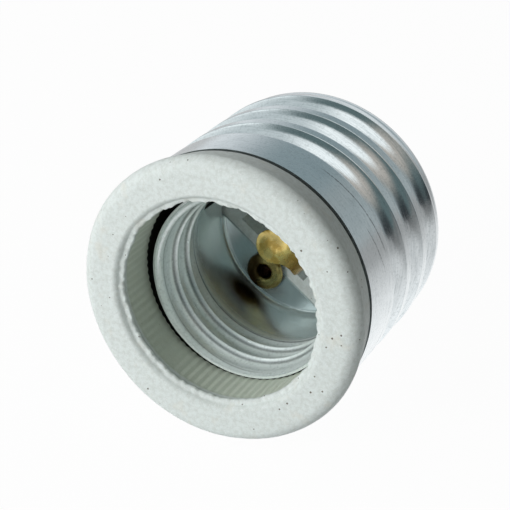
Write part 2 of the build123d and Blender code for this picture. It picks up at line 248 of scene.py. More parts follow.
creaseGroup.links.new(mathNode(creaseGroup, "MULTIPLY", creaseMask, creaseEnd), groupOut.inputs["Mask"])
print("shader groups built")


def useGroup(tree, group, values):
    node = addNode(tree, "ShaderNodeGroup", node_tree=group)
    for label, value in values.items():
        node.inputs[label].default_value = value
    return node.outputs[0]


def newMaterial(name, metallic, specular=0.5):
    material = bpy.data.materials.new(name)
    material.use_nodes = True
    tree = material.node_tree
    shader = tree.nodes["Principled BSDF"]
    shader.inputs["Metallic"].default_value = metallic
    shader.inputs["Specular IOR Level"].default_value = specular
    return material, tree, shader


def bumpChain(tree, shader, layers):
    last = None
    for height, strength, distance in layers:
        bump = addNode(tree, "ShaderNodeBump")
        bump.inputs["Strength"].default_value = strength
        bump.inputs["Distance"].default_value = distance * mm
        tree.links.new(height, bump.inputs["Height"])
        if last:
            tree.links.new(last, bump.inputs["Normal"])
        last = bump.outputs["Normal"]
    tree.links.new(last, shader.inputs["Normal"])


# porcelain finish: fades give the noise or millimetres they run between, then the share they reach
porcelainFinish = {
    "specular": 0.35,
    "pale": (0.76, 0.82, 0.81, 1),
    "shade": (0.67, 0.72, 0.70, 1),
    "crystal": (0.88, 0.91, 0.92, 1),
    "speck": (0.12, 0.10, 0.08, 1),
    "stain": (0.42, 0.30, 0.16, 1),
    "ochre": (0.78, 0.71, 0.58, 1),
    "shadeBlack": (0.04, 0.04, 0.035, 1),
    "boreShade": (0.62, 0.68, 0.57, 1),
    "mottle": {"Scale": 1.6, "Detail": 4.0},
    "cloud": {"Scale": 0.12, "Detail": 2.0},
    "pits": {"Scale": 5.0, "Detail": 3.0},
    "tinge": {"Scale": 0.32, "Detail": 3.0},
    "stains": {"Scale": 0.15, "Size": 0.1, "Share": 0.25},
    "specks": {"Scale": 0.9, "Size": 0.125, "Share": 0.6},
    "mottleFade": (0.35, 0.68),
    "cloudFade": (0.55, 0.8, 0.0, 0.35),
    "crystalFade": (0.52, 0.72, 0.0, 0.6),
    "stainFade": (0.35, 0.6, 0.0, 0.5),
    "ochreFade": (0.56, 0.74, 0.0, 0.2),
    "roughness": (0.3, 0.7, 0.42, 0.66),
    "mottleRelief": (0.4, 0.08),  # bump strength and height in mm
    "pitRelief": (0.5, 0.05),
    "boreDepths": (2.0, 2.6),  # the bore's painted shade, from the mouth's edge to the floor
    "boreReach": (15.6, 15.2),
    "boreEnd": (28.2, 27.8),
    "boreShare": 0.8,
    "gapDepths": (8.15, 8.4),  # painted shade in the gap round the inner shell
    "gapReach": (16.2, 15.9),
    "gapEnd": (28.0, 27.0),
    "backDepths": (6.35, 6.45),  # painted shade on the collar's back, dark towards the top
    "backInner": (16.5, 16.8),
    "backOuter": (19.45, 19.3),
    "backHeights": (-10.0, -2.0),
}
finish = porcelainFinish
porcelain, tree, shader = newMaterial("porcelain", 0.0, finish["specular"])
mottle = useGroup(tree, grainGroup, finish["mottle"])
cloud = useGroup(tree, grainGroup, finish["cloud"])
pits = useGroup(tree, grainGroup, finish["pits"])
tinge = useGroup(tree, grainGroup, finish["tinge"])
specks = useGroup(tree, speckGroup, finish["specks"])
stains = useGroup(tree, speckGroup, finish["stains"])
stains = mathNode(tree, "MULTIPLY", stains, rangeNode(tree, mottle, *finish["stainFade"]))
colour = fadeColour(tree, mottle, finish["mottleFade"], finish["pale"], finish["shade"])
colour = fadeColour(tree, cloud, finish["cloudFade"], colour, finish["shade"])
colour = fadeColour(tree, pits, finish["crystalFade"], colour, finish["crystal"])
colour = mixColour(tree, stains, colour, finish["stain"])
colour = fadeColour(tree, tinge, finish["ochreFade"], colour, finish["ochre"])
colour = mixColour(tree, specks, colour, finish["speck"])
right, depth, up = splitVector(tree, millimetreCoords(tree))
reach = axisDistance(tree, right, up)
boreShadeMask = bandMask(
    tree, (depth, finish["boreDepths"]), (reach, finish["boreReach"]), (depth, finish["boreEnd"])
)
gapShade = bandMask(tree, (depth, finish["gapDepths"]), (depth, finish["gapEnd"]), (reach, finish["gapReach"]))
collarBackShade = bandMask(
    tree,
    (depth, finish["backDepths"]),
    (reach, finish["backInner"]),
    (reach, finish["backOuter"]),
    (up, finish["backHeights"]),
)
# painted shade: a darker, greener tint on the ribbed land inside the mouth
colour = mixColour(tree, mathNode(tree, "MULTIPLY", boreShadeMask, finish["boreShare"]), colour, finish["boreShade"])
# painted shade: near black in the gap round the inner shell and on the collar's back
colour = mixColour(tree, gapShade, colour, finish["shadeBlack"])
colour = mixColour(tree, collarBackShade, colour, finish["shadeBlack"])
tree.links.new(colour, shader.inputs["Base Color"])
tree.links.new(rangeNode(tree, pits, *finish["roughness"]), shader.inputs["Roughness"])
bumpChain(tree, shader, [(mottle, *finish["mottleRelief"]), (pits, *finish["pitRelief"])])

# aluminium: what both rolled shells share
rolledSheet = {
    "streaks": {"Around": 5.0, "Along": 7.0, "Detail": 5.0},
    "fineLines": {"Around": 26.0, "Along": 34.0, "Detail": 3.0},
    "smudge": {"Scale": 0.22, "Detail": 4.0},
    "haze": {"Scale": 5.0, "Detail": 3.0},
    "pits": {"Scale": 2.6, "Detail": 5.0},
    "streakFade": (0.4, 0.75, 0.0, 0.6),
    "smudgeFade": (0.55, 0.75, 0.0, 0.5),
    "pitFade": (0.5, 0.68),
    "breakFade": (0.3, 0.6),
    "roughFade": (0.3, 0.75),
    "pitColour": (0.30, 0.35, 0.36, 1),
    "lineColour": (0.10, 0.11, 0.11, 1),
    "streakRelief": (0.2, 0.02),  # bump strength and height in mm
    "fineRelief": (0.1, 0.01),
    "gritHeight": 0.018,
}


def aluminium(name, finish):
    sheet = rolledSheet
    material, tree, shader = newMaterial(name, 1.0)
    streaks = useGroup(tree, rolledGroup, sheet["streaks"])
    fineLines = useGroup(tree, rolledGroup, sheet["fineLines"])
    smudge = useGroup(tree, grainGroup, sheet["smudge"])
    haze = useGroup(tree, grainGroup, sheet["haze"])
    pits = useGroup(tree, grainGroup, sheet["pits"])
    colour = fadeColour(tree, streaks, sheet["streakFade"], finish["bright"], finish["dull"])
    colour = fadeColour(tree, smudge, sheet["smudgeFade"], colour, finish["dull"])
    pitted = rangeNode(tree, pits, *sheet["pitFade"], 0.0, finish["pitted"])
    colour = mixColour(tree, pitted, colour, sheet["pitColour"])
    for group, line, share, leastShown in finish["lines"]:
        shown = rangeNode(tree, haze, *sheet["breakFade"], leastShown, 1.0)
        mask = mathNode(tree, "MULTIPLY", useGroup(tree, group, line), shown)
        colour = mixColour(tree, mathNode(tree, "MULTIPLY", mask, share), colour, sheet["lineColour"])
    tree.links.new(colour, shader.inputs["Base Color"])
    roughness = rangeNode(tree, streaks, *sheet["roughFade"], *finish["roughness"])
    tree.links.new(roughness, shader.inputs["Roughness"])
    relief = []
    for height, (strength, distance) in ((streaks, sheet["streakRelief"]), (fineLines, sheet["fineRelief"])):
        relief.append((height, strength * finish["relief"], distance))
    bumpChain(tree, shader, relief + [(haze, finish["grit"], sheet["gritHeight"])])
    return material


# lines of painted shade: shader group, its values, darkness, and how much of the line its breaks leave
# painted shade: dark lines on the plain band, where the thread's groove starts
shellGrooveShades = [
    (grooveShadeGroup, {"Depth": 12.0, "Turn": -1.07, "Climb": 2.15, "Reach": 0.8, "Width": 0.2}, 0.85, 0.0),
    (grooveShadeGroup, {"Depth": 11.0, "Turn": -0.58, "Climb": 3.37, "Reach": 0.4, "Width": 0.17}, 0.75, 0.0),
]
outerFinish = {
    "bright": (0.85, 0.90, 0.92, 1),
    "dull": (0.62, 0.68, 0.70, 1),
    "roughness": (0.13, 0.24),
    "relief": 1.0,
    "grit": 0.35,
    "pitted": 0.2,
    "lines": shellGrooveShades,
}
outerAluminium = aluminium("outerAluminium", outerFinish)

innerThread = {"pitch": 3.629, "lean": (0.4087, -0.368)}  # lean in X and Z
threadLine = {
    "Pitch": innerThread["pitch"],
    "Right": innerThread["lean"][0],
    "Up": innerThread["lean"][1],
    "Start": 8.3,
    "End": 18.4,
}
# painted shade: dark lines just in front of each crest and down towards each root
threadCreases = [
    (creaseGroup, {**threadLine, "Depth": 9.35, "Width": 0.28}, 0.7, 0.8),
    (creaseGroup, {**threadLine, "Depth": 11.1, "Width": 0.18}, 0.4, 0.8),
]
innerFinish = {
    "bright": (0.93, 1.0, 1.0, 1),
    "dull": (0.80, 0.90, 0.90, 1),
    "roughness": (0.16, 0.28),
    "relief": 0.3,
    "grit": 0.8,
    "pitted": 0.25,
    "lines": threadCreases,
    "plainWall": (17.5, 20.5),  # depths over which the thread gives way to the plain wall
    "metallic": (0.4, 0.74),  # on the dull thread and on the plain wall
    "polish": (1.0, 0.85),
    # painted shade on the floor at the bottom of the socket
    "floorDepths": (27.2, 27.7),
    "floorShade": (0.36, 0.46, 0.48, 1),
    "floorShare": 0.5,
    "reflectionMiddle": (-7.8, 25.125, -10.8),  # painted reflection of the near eyelet, on the wall beside it
    "reflectionSquash": (1.0, 1.6, 1.0),  # the patch is shorter along the axis
    "reflectionFade": (5.6, 1.6),
    "reflectionColour": (0.20, 0.13, 0.06, 1),
    "reflectionShare": 0.9,
}
finish = innerFinish
innerAluminium = aluminium("innerAluminium", finish)
tree = innerAluminium.node_tree
shader = tree.nodes["Principled BSDF"]
coords = millimetreCoords(tree)
depth = splitVector(tree, coords)[1]
floorShadeMask = rangeNode(tree, depth, *finish["floorDepths"])
behindThread = rangeNode(tree, depth, *finish["plainWall"])
# painted reflection: a dark brown patch on the wall beside the near eyelet, which is also made fully metallic
squashed = addNode(tree, "ShaderNodeVectorMath", operation="MULTIPLY")
tree.links.new(coords, squashed.inputs[0])
squashed.inputs[1].default_value = finish["reflectionSquash"]
reflectionAway = addNode(tree, "ShaderNodeVectorMath", operation="DISTANCE")
tree.links.new(squashed.outputs[0], reflectionAway.inputs[0])
reflectionAway.inputs[1].default_value = np.multiply(finish["reflectionMiddle"], finish["reflectionSquash"]).tolist()
eyeletReflection = rangeNode(tree, reflectionAway.outputs["Value"], *finish["reflectionFade"])
wallMetal = rangeNode(tree, behindThread, 0.0, 1.0, *finish["metallic"])
tree.links.new(mathNode(tree, "MAXIMUM", wallMetal, eyeletReflection), shader.inputs["Metallic"])
roughness = shader.inputs["Roughness"].links[0].from_socket
polish = rangeNode(tree, behindThread, 0.0, 1.0, *finish["polish"])
tree.links.new(mathNode(tree, "MULTIPLY", roughness, polish), shader.inputs["Roughness"])
colour = shader.inputs["Base Color"].links[0].from_socket
reflectedShare = mathNode(tree, "MULTIPLY", eyeletReflection, finish["reflectionShare"])
colour = mixColour(tree, reflectedShare, colour, finish["reflectionColour"])
# painted shade: a darker blue-grey on the shell's floor
floorShadeMask = mathNode(tree, "MULTIPLY", floorShadeMask, finish["floorShare"])
colour = mixColour(tree, floorShadeMask, colour, finish["floorShade"])
tree.links.new(colour, shader.inputs["Base Color"])

# brass: what the contact and the eyelets share
brassGrain = {
    "patches": {"Scale": 0.55, "Detail": 4.0},
    "fine": {"Scale": 4.0, "Detail": 3.0},
    "patchFade": (0.42, 0.6),
    "fineFade": (0.58, 0.78, 0.0, 0.6),
    "roughFade": (0.3, 0.7),
    "rearEnd": (35.5, 34.5),  # the painted shade inside stops in front of the rear end
    "patchRelief": (0.3, 0.08),  # bump strength and height in mm
    "fineRelief": (0.2, 0.02),
}


def brass(name, finish):
    grain = brassGrain
    material, tree, shader = newMaterial(name, 1.0)
    patches = useGroup(tree, grainGroup, grain["patches"])
    fine = useGroup(tree, grainGroup, grain["fine"])
    colour = fadeColour(tree, patches, grain["patchFade"], finish["bright"], finish["dull"])
    colour = fadeColour(tree, fine, grain["fineFade"], colour, finish["dark"])
    right, depth = splitVector(tree, millimetreCoords(tree))[:2]
    # painted shade: deep in the socket the brass turns darker and browner
    deepShade = bandMask(tree, (depth, (*finish["deepShade"], 0.0, finish["deepShadeShare"])), (depth, grain["rearEnd"]))
    colour = mixColour(tree, deepShade, colour, finish["deepShadeColour"])
    # painted shade on the left side of the near eyelet
    if "shadedSide" in finish:
        colour = fadeColour(tree, right, finish["shadedSide"], colour, finish["dark"])
    tree.links.new(colour, shader.inputs["Base Color"])
    roughness = rangeNode(tree, patches, *grain["roughFade"], *finish["roughness"])
    tree.links.new(roughness, shader.inputs["Roughness"])
    bumpChain(tree, shader, [(patches, *grain["patchRelief"]), (fine, *grain["fineRelief"])])
    return material


contactFinish = {
    "bright": (0.97, 0.77, 0.29, 1),
    "dull": (0.66, 0.46, 0.12, 1),
    "dark": (0.25, 0.14, 0.04, 1),
    "roughness": (0.2, 0.34),
    "deepShade": (19.3, 20.3),  # depths over which the painted shade sets in
    "deepShadeShare": 0.8,
    "deepShadeColour": (0.48, 0.28, 0.07, 1),
}
eyeletFinish = {
    "bright": (0.62, 0.50, 0.20, 1),
    "dull": (0.40, 0.30, 0.11, 1),
    "dark": (0.045, 0.026, 0.011, 1),
    "roughness": (0.22, 0.38),
    "deepShade": (27.0, 27.8),
    "deepShadeShare": 0.95,
    "deepShadeColour": (0.09, 0.03, 0.015, 1),
    "shadedSide": (-5.0, -6.9, 0.0, 0.95),  # painted shade on the near eyelet's left side, from right to left
}
contactBrass = brass("contactBrass", contactFinish)
eyeletBrass = brass("eyeletBrass", eyeletFinish)
print("materials built")


# mesh helpers: depth runs back from the collar's front face, angles turn about the screw axis
back = np.array([0.0, 1.0, 0.0])


def pointAt(pair):  # X and Z to a point at depth 0
    return np.array([pair[0], 0.0, pair[1]])


def turnedPoints(radius, depth, angles):
    turn = np.radians(angles)
    return np.stack([radius * np.cos(turn), depth + 0.0 * turn, -radius * np.sin(turn)], axis=-1)


def roundSteps(count):
    return np.arange(count) * 360.0 / count


def turnedLine(line, steps):
    line = np.array(line)
    return turnedPoints(line[:, :1], line[:, 1:], roundSteps(steps)[None, :])


def gridObject(name, points, material):
    rings, steps = points.shape[:2]
    index = np.arange(rings * steps).reshape(rings, steps)
    beside = np.roll(index, -1, axis=1)
    below = np.roll(index, -1, axis=0)
    corner = np.roll(below, -1, axis=1)
    faces = np.stack([index, beside, corner, below], axis=-1).reshape(-1, 4)
    mesh = bpy.data.meshes.new(name)
    mesh.from_pydata((points.reshape(-1, 3) * mm).tolist(), [], faces.tolist())
    return settle(name, mesh, material)


def settle(name, mesh, material):
    work = bmesh.new()
    work.from_mesh(mesh)
    bmesh.ops.recalc_face_normals(work, faces=work.faces)
    work.to_mesh(mesh)
    work.free()
    piece = bpy.data.objects.new(name, mesh)
    scene.collection.objects.link(piece)
    piece.data.materials.append(material)
    return piece


def shade(piece, sharpAngle):
    piece.data.shade_smooth()
    piece.data.set_sharp_from_angle(angle=math.radians(sharpAngle))


def carve(piece, cutter):
    step = piece.modifiers.new("carve", "BOOLEAN")
    step.operation = "DIFFERENCE"
    step.solver = "MANIFOLD"
    step.object = cutter
    bpy.context.view_layer.update()
    evaluated = piece.evaluated_get(bpy.context.evaluated_depsgraph_get())
    carved = bpy.data.meshes.new_from_object(evaluated)
    piece.modifiers.remove(step)
    plain = piece.data
    piece.data = carved
    bpy.data.meshes.remove(plain)
    bpy.data.objects.remove(cutter)


axisRadius = 0.001  # mm, where a cutter closes on its own axis
cutterSteps = 48


def cylinderCutter(place, radius, start, end):
    reach = np.array([[axisRadius], [radius], [radius], [axisRadius]])
    depth = np.array([[start], [start], [end], [end]])
    rings = turnedPoints(reach, depth, roundSteps(cutterSteps)[None, :])
    rings += pointAt(place)
    return gridObject("cutter", rings, porcelain)


def boxCutter(middle, alongDirection, size):
    along = pointAt(alongDirection)
    across = np.cross(along, back)
    corners = []
    for depthSide in (-1, 1):
        for acrossSide in (-1, 1):
            for alongSide in (-1, 1):
                corners.append(
                    np.array(middle)
                    + along * alongSide * size[0] / 2
                    + across * acrossSide * size[1] / 2
                    + back * depthSide * size[2] / 2
                )
    mesh = bpy.data.meshes.new("cutter")
    quads = [(0, 1, 3, 2), (4, 6, 7, 5), (0, 4, 5, 1), (2, 3, 7, 6), (0, 2, 6, 4), (1, 5, 7, 3)]
    mesh.from_pydata((np.array(corners) * mm).tolist(), [], quads)
    return settle("cutter", mesh, porcelain)


def smoothStep(value, start, end):
    share = np.clip((value - start) / (end - start), 0.0, 1.0)
    return share * share * (3 - 2 * share)


def threadDepth(along, pitch, flat, crestArc, rootArc):
    slope = (pitch - flat) / 2 / (crestArc + rootArc)
    total = (crestArc + rootArc) * (1 - (1 - slope * slope) ** 0.5)
    offset = np.abs((along + pitch / 2) % pitch - pitch / 2)
    beyondFlat = np.maximum(offset - flat / 2, 0)
    onCrest = crestArc - np.sqrt(np.maximum(crestArc**2 - beyondFlat**2, 0))
    onRoot = total - rootArc + np.sqrt(np.maximum(rootArc**2 - (pitch / 2 - offset) ** 2, 0))
    return np.where(beyondFlat <= crestArc * slope, onCrest, onRoot)


def wander(points, scale, seed):
    shift = Vector((seed, seed * 1.7, 0))
    return np.array([noise.noise(Vector(point) * scale + shift) for point in points])


def unevenness(points, *layers):  # each layer is a noise scale, a seed and a height in mm
    return sum(wander(points, scale, seed) * height for scale, seed, height in layers)


def outwardFrom(points):
    outward = points * np.array([1.0, 0.0, 1.0])
    return outward / np.linalg.norm(outward, axis=1)[:, None]


def arc(centre, radius, start, end, steps):
    turns = np.radians(np.linspace(start, end, steps))
    return [(centre[0] + radius * math.cos(turn), centre[1] + radius * math.sin(turn)) for turn in turns]


def run(start, end, spacing):
    length = math.dist(start, end)
    steps = max(1, round(length / spacing))
    start, end = np.array(start), np.array(end)
    return [tuple(start + (end - start) * step / steps) for step in range(1, steps + 1)]


def edgeRun(start, corner, edge, spacing):  # a run up to a softened edge, then over it
    points = [(corner[0] + across, corner[1] + along) for across, along in edge]
    return run(start, points[0], spacing) + points[1:]


leafDirection = (-0.78043, 0.625243)  # X and Z of the way the leaf's tip points
along = pointAt(leafDirection)
across = pointAt((-leafDirection[1], leafDirection[0]))
eyelet = {
    "spots": [(-5.569, -7.634), (5.569, 7.634)],
    "tube": 1.35,
    "bore": 1.1,
    "boreTop": 0.6,
    "head": 2.9,
    "headTop": 26.7,
    "headRound": 0.55,
    "headRing": (1.0, 0.015),
    "underHead": (0.12, 0.15),
    "floor": 27.9,
    "flange": 36.0,
    "underClinch": (0.15, 0.1),
    "clinch": 2.5,
    "clinchEnd": 36.6,
    "clinchRound": 0.35,
    "rows": 1.5,
    "steps": 72,
    "uneven": (0.7, 0.06),  # noise scale and height
    "unevenFrom": (1.6, 2.8),
}


def eyeletHoles(piece, size, front, rear):
    start, end = front - size["eyeletCut"][0], rear + size["eyeletCut"][1]
    for spot in eyelet["spots"]:
        carve(piece, cylinderCutter(spot, size["eyeletHole"], start, end))


# porcelain body, one pressed and fired piece
body = {
    "ribs": 84,
    "stepsPerRib": 6,
    "ribDepth": 0.13,
    "ribRise": (0.2, 0.9),  # behind the rounded edge
    "mouth": 14.7,
    "mouthEnd": 8.3,
    "landEdge": (0.1, 0.05),
    "landTolerance": 0.01,
    "edgeWidth": 1.0,
    "edgeDepth": 2.0,
    "edgeRows": 17,
    "closeRows": 3.2,  # rows stand close together in front of this depth
    "bead": 0.48,
    "beadDepth": 1.3,
    "beadWidth": 0.44,
    "beadPower": 4,  # a higher power makes its section squarer
    "beadChange": 0.9,
    "beadLimits": (0.12, 0.6),
    "beadForward": 0.45,
    "beadRagged": ((0.35, 3.0, 0.6), (1.4, 9.0, 0.5)),
    "beadSway": ((0.22, 15.0, 0.28), (1.1, 27.0, 0.2)),
    "bore": 15.6,
    "floor": 28.3,
    "collar": 20.5,
    "collarRound": 1.96,
    "collarBack": 19.5,
    "collarEnd": 6.4,
    "collarEdge": ((0.04, -0.35), (-0.03, -0.12), (-0.2, 0.0)),
    "core": 17.4,
    "rear": 35.6,
    "coreRound": 2.0,
    "nose": 6.3,
    "noseFoot": 0.3,
    "noseTip": 6.0,
    "noseEnd": 42.4,
    "noseEdge": ((0.03, -0.4), (-0.1, -0.12), (-0.4, 0.0)),
    "hole": 1.65,
    "recess": (13.05, 12.9, 2.5),
    "recessMiddle": 0.975,
    "recessCut": 0.25,  # how far the cutter stands above the floor
    "eyeletHole": 1.55,
    "eyeletCut": (1.0, 1.0),  # in front of the floor and behind the rear face
    "swell": ((0.13, 1.0, 0.07), (0.9, 5.0, 0.022)),
    "swellEnds": (0.05, 0.6),  # short of the collar's back, and inside the mouth
    "turnDepth": 1.8,  # the skin turns from facing forward to facing sideways
    "skinMiddle": 17.0,
    "mouthBand": 0.5,
    "mouthSwell": 0.35,
}
bodyRows = {
    "floor": 1.5,
    "bore": 2.5,
    "land": 0.35,
    "edge": 0.12,
    "face": 0.25,
    "side": 0.3,
    "back": 1.2,
    "core": 5.0,
    "rear": 2.0,
    "nose": 0.6,
    "tip": 1.5,
    "hole": 2.5,
}
outline = [(body["hole"], body["floor"])]
outline += run(outline[-1], (body["bore"], body["floor"]), bodyRows["floor"])
outline += run(outline[-1], (body["bore"], body["mouthEnd"] + body["landEdge"][0]), bodyRows["bore"])
outline += [(body["mouth"], body["mouthEnd"] - body["landEdge"][1])]
mouthStart = len(outline)
outline += run(outline[-1], (body["mouth"], body["closeRows"]), bodyRows["land"])
outline += run(outline[-1], (body["mouth"], body["edgeDepth"]), bodyRows["edge"])
for turn in np.radians(np.linspace(0, 90, body["edgeRows"]))[1:]:
    edge = body["mouth"] + body["edgeWidth"] * (1 - math.cos(turn))
    outline.append((edge, body["edgeDepth"] * (1 - math.sin(turn))))
mouthStop = len(outline)
outline += run(outline[-1], (body["collar"] - body["collarRound"], 0.0), bodyRows["face"])
roundMiddle = (body["collar"] - body["collarRound"], body["collarRound"])
outline += arc(roundMiddle, body["collarRound"], -90, 0, 13)[1:]
collarCorner = (body["collarBack"], body["collarEnd"])
outline += edgeRun(outline[-1], collarCorner, body["collarEdge"], bodyRows["side"])
outline += run(outline[-1], (body["core"], body["collarEnd"]), bodyRows["back"])
outline += run(outline[-1], (body["core"], body["rear"] - body["coreRound"]), bodyRows["core"])
coreMiddle = (body["core"] - body["coreRound"], body["rear"] - body["coreRound"])
outline += arc(coreMiddle, body["coreRound"], 0, 90, 6)[1:]
outline += run(outline[-1], (body["nose"] + body["noseFoot"], body["rear"]), bodyRows["rear"])
outline += [(body["nose"], body["rear"] + body["noseFoot"])]
noseCorner = (body["noseTip"], body["noseEnd"])
outline += edgeRun(outline[-1], noseCorner, body["noseEdge"], bodyRows["nose"])
outline += run(outline[-1], (body["hole"], body["noseEnd"]), bodyRows["tip"])
outline += run(outline[-1], (body["hole"], body["floor"]), bodyRows["hole"])[:-1]
outline = np.array(outline)
angles = roundSteps(body["ribs"] * body["stepsPerRib"])
radius = np.repeat(outline[:, :1], len(angles), axis=1)
depth = np.repeat(outline[:, 1:], len(angles), axis=1)

# ribs round the land, and the ragged bead that the mould left at its edge
onMouth = (np.abs(radius - body["mouth"]) < body["landTolerance"]) & (depth < body["mouthEnd"])
ribWave = 0.5 - 0.5 * np.cos(np.radians(angles) * body["ribs"])
ribStart, ribFull = (body["edgeDepth"] + rise for rise in body["ribRise"])
ribGrowth = smoothStep(depth, ribStart, ribFull) * onMouth
turns = np.radians(angles)
circle = [(body["mouth"] * math.cos(turn), body["mouth"] * math.sin(turn), 0.0) for turn in turns]
ragged = unevenness(circle, *body["beadRagged"])
beadDepth = body["beadDepth"] + unevenness(circle, *body["beadSway"])
beadHeight = np.clip(body["bead"] * (1 + body["beadChange"] * ragged), *body["beadLimits"])
beadRing = (np.arange(len(outline)) >= mouthStart) & (np.arange(len(outline)) < mouthStop)
beadAway = (depth - beadDepth[None, :]) / body["beadWidth"]
beadShape = np.exp(-(beadAway ** body["beadPower"])) * beadRing[:, None]
radius += body["ribDepth"] * ribWave[None, :] * ribGrowth
radius -= beadHeight[None, :] * beadShape
depth = depth - body["beadForward"] * beadHeight[None, :] * beadShape
points = turnedPoints(radius, depth, angles[None, :])

# the fired skin of the collar is never quite even
flat = points.reshape(-1, 3)
front = (depth < body["collarEnd"] - body["swellEnds"][0]).reshape(-1)
front &= (radius > body["mouth"] - body["swellEnds"][1]).reshape(-1)
swell = np.zeros(len(flat))
swell[front] = unevenness(flat[front], *body["swell"])
reach = np.linalg.norm(flat[:, 0::2], axis=1)
sideways = smoothStep(flat[:, 1], 0.0, body["turnDepth"]) * np.where(reach < body["skinMiddle"], -1.0, 1.0)
outward = outwardFrom(flat) * sideways[:, None]
outward[:, 1] = -(1 - np.abs(sideways))
outward /= np.linalg.norm(outward, axis=1)[:, None]
swell *= np.where(reach < body["mouth"] + body["mouthBand"], body["mouthSwell"], 1.0)
points = (flat + outward * swell[:, None]).reshape(points.shape)
porcelainBody = gridObject("porcelainBody", points, porcelain)
recessLength, recessWidth, recessDepth = body["recess"]
recessCentre = along * body["recessMiddle"] + back * (body["floor"] + recessDepth / 2 - body["recessCut"])
recessSize = (recessLength, recessWidth, recessDepth + 2 * body["recessCut"])
carve(porcelainBody, boxCutter(recessCentre, leafDirection, recessSize))
eyeletHoles(porcelainBody, body, body["floor"], body["rear"])
shade(porcelainBody, 40)
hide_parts("porcelain_body")
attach(porcelainBody, "adapter")
print("porcelain body:", len(porcelainBody.data.polygons), "faces")

# outer screw shell, rolled from thin sheet
outerShell = {
    "crest": 19.5,
    "pitch": 6.35,
    "crestFlat": 1.4,
    "nearArc": 0.1,  # shoulder on the collar's side of a crest
    "farArc": 0.45,
    "leastArc": 0.05,
    "arcs": 2.75,  # shoulder and root radius together
    "gather": (0.13, 14.0),  # mesh rows crowd together within this far of a shoulder
    "sheet": 0.4,
    "front": 6.95,
    "frontEdge": 0.1,
    "threadStart": 13.0,
    "threadFull": 16.0,
    "fadeStart": 31.0,
    "shoulder": 33.0,
    "round": 3.0,
    "inset": 0.3,
    "hole": 6.7,
    "crestDepth": 13.3,
    "crestAngle": 306.0,
    "steps": 240,
    "rows": 230,
    "insideRows": 70,
    "trialRows": 2400,
    "roundRows": 11,
    "flangeRows": 4,
    "bulge": (0.16, 21.0, 0.03),
    "bulgeStretch": (1.0, 0.35, 1.0),
    "bulgeEnd": (0.5, 1.5),
    "eyeletHole": 1.4,
    "eyeletCut": (1.5, 1.0),  # in front of the flange and behind it
}


def alongThread(size, depth, angles):
    return depth - size["crestDepth"] - size["pitch"] * (angles - size["crestAngle"]) / 360


def threadShare(depth, start, full, fade, end):
    return smoothStep(depth, start, full) * (1 - smoothStep(depth, fade, end))


def cornerInset(depth, start, bend):  # how far a rounded corner draws the wall in
    return bend - np.sqrt(np.maximum(bend**2 - np.maximum(depth - start, 0) ** 2, 0))


def bulged(points, size, level):  # thin sheet is never quite round
    flat = points.reshape(-1, 3)
    bulge = unevenness(flat * np.array(size["bulgeStretch"]), size["bulge"])
    wallEnd, wallFade = size["bulgeEnd"]
    onWall = smoothStep(level + wallEnd - flat[:, 1], 0.0, wallFade)
    return (flat + outwardFrom(flat) * (bulge * onWall)[:, None]).reshape(points.shape)


def gatheredRows(angles, count):
    size = outerShell
    near, gain = size["gather"]
    trial = np.linspace(size["front"] + size["frontEdge"], size["shoulder"], size["trialRows"])
    rows = []
    for angle in angles:
        offset = alongThread(size, trial, angle) + size["pitch"] / 2
        offset = np.abs(offset % size["pitch"] - size["pitch"] / 2)
        crowd = 1 + gain * np.exp(-(((offset - size["crestFlat"] / 2) / near) ** 2))
        total = np.concatenate([[0.0], np.cumsum((crowd[1:] + crowd[:-1]) / 2)])
        rows.append(np.interp(np.linspace(0, total[-1], count), total, trial))
    return np.array(rows).T


def flatRings(outer, inner, level, count, angles):
    reach = outer + (inner - outer) * np.linspace(0, 1, count + 1)[1:]
    return turnedPoints(reach[:, None], np.full((count, 1), level), angles[None, :])


def outerSkin(skin, angles, count):
    size = outerShell
    bend = size["round"] - skin
    turns = np.radians(np.linspace(0, 90, size["roundRows"])[1:])
    rounded = size["shoulder"] + bend * np.sin(turns)
    edge = np.full((1, len(angles)), size["front"])
    depth = [edge, gatheredRows(angles, count), np.repeat(rounded[:, None], len(angles), axis=1)]
    depth = np.concatenate(depth)
    along = alongThread(size, depth, angles[None, :])
    onNear = (along + size["pitch"] / 2) % size["pitch"] < size["pitch"] / 2
    nearArc, farArc = (max(size[side] - skin, size["leastArc"]) for side in ("nearArc", "farArc"))
    crestArc = np.where(onNear, nearArc, farArc)
    dip = threadDepth(along, size["pitch"], size["crestFlat"], crestArc, size["arcs"] - crestArc)
    share = threadShare(depth, size["threadStart"], size["threadFull"], size["fadeStart"], size["shoulder"])
    inward = cornerInset(depth, size["shoulder"], bend)
    inward = inward + size["inset"] * smoothStep(depth, size["fadeStart"], size["shoulder"])
    radius = size["crest"] - skin - share * dip - inward
    rings = turnedPoints(radius, depth, angles[None, :])
    end = size["shoulder"] + bend
    flange = flatRings(radius[-1].mean(), size["hole"], end, size["flangeRows"], angles)
    return np.concatenate([rings, flange])


angles = roundSteps(outerShell["steps"])
skinOut = outerSkin(0.0, angles, outerShell["rows"])
skinIn = outerSkin(outerShell["sheet"], angles, outerShell["insideRows"])
points = bulged(np.concatenate([skinOut, skinIn[::-1]]), outerShell, outerShell["shoulder"])
outerScrewShell = gridObject("outerScrewShell", points, outerAluminium)
eyeletHoles(outerScrewShell, outerShell, eyelet["flange"], eyelet["flange"])
shade(outerScrewShell, 50)
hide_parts("outer_screw_shell")
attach(outerScrewShell, "adapter")
print("outer screw shell:", len(outerScrewShell.data.polygons), "faces")

